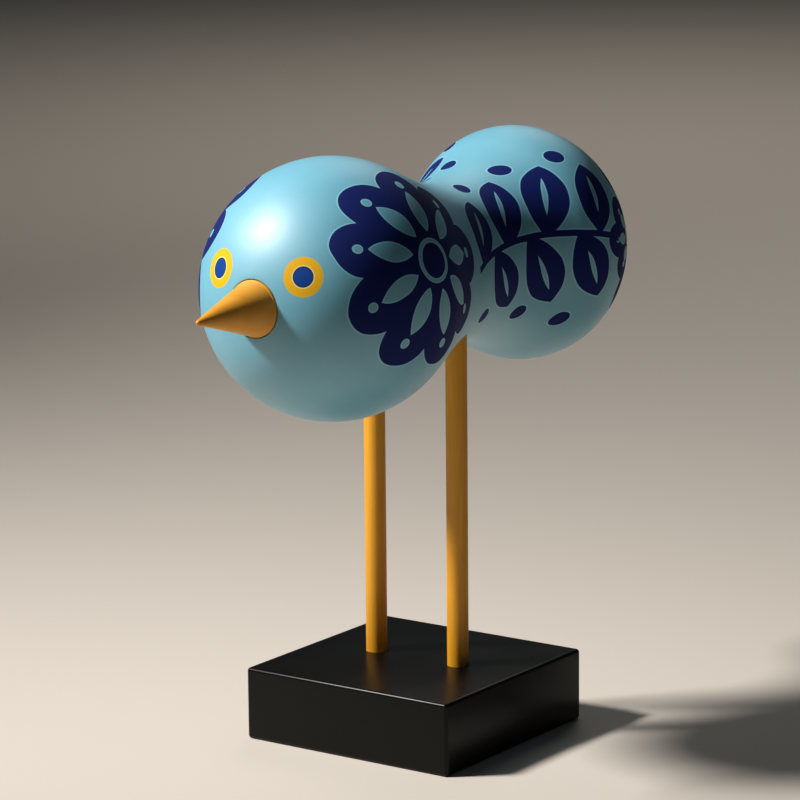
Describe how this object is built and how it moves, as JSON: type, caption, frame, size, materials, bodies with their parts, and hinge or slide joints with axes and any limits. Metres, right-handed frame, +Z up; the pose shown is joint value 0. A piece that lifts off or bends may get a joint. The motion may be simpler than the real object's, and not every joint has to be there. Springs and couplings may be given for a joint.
{
  "type": "bird figurine",
  "caption": "Stylised bird ornament: head and tail turned as one waisted body with a cone beak, standing on dowel legs in a square plinth.",
  "frame": {"origin": "centre of the plinth's underside", "axes": "+Z up, the bird faces -Y, +X towards its left side"},
  "size_m": [0.118, 0.2902, 0.277],
  "materials": {
    "sky_blue_paint": "satin paint with painted eyes and a navy floral print",
    "orange_paint": "satin paint",
    "yellow_paint": "matt brushed paint",
    "black_lacquer": "satin lacquer"
  },
  "bodies": {
    "root": {"plinth": "black_lacquer", "leg_left": "yellow_paint", "leg_right": "yellow_paint", "body": "sky_blue_paint", "beak": "orange_paint"}
  },
  "joints": []
}
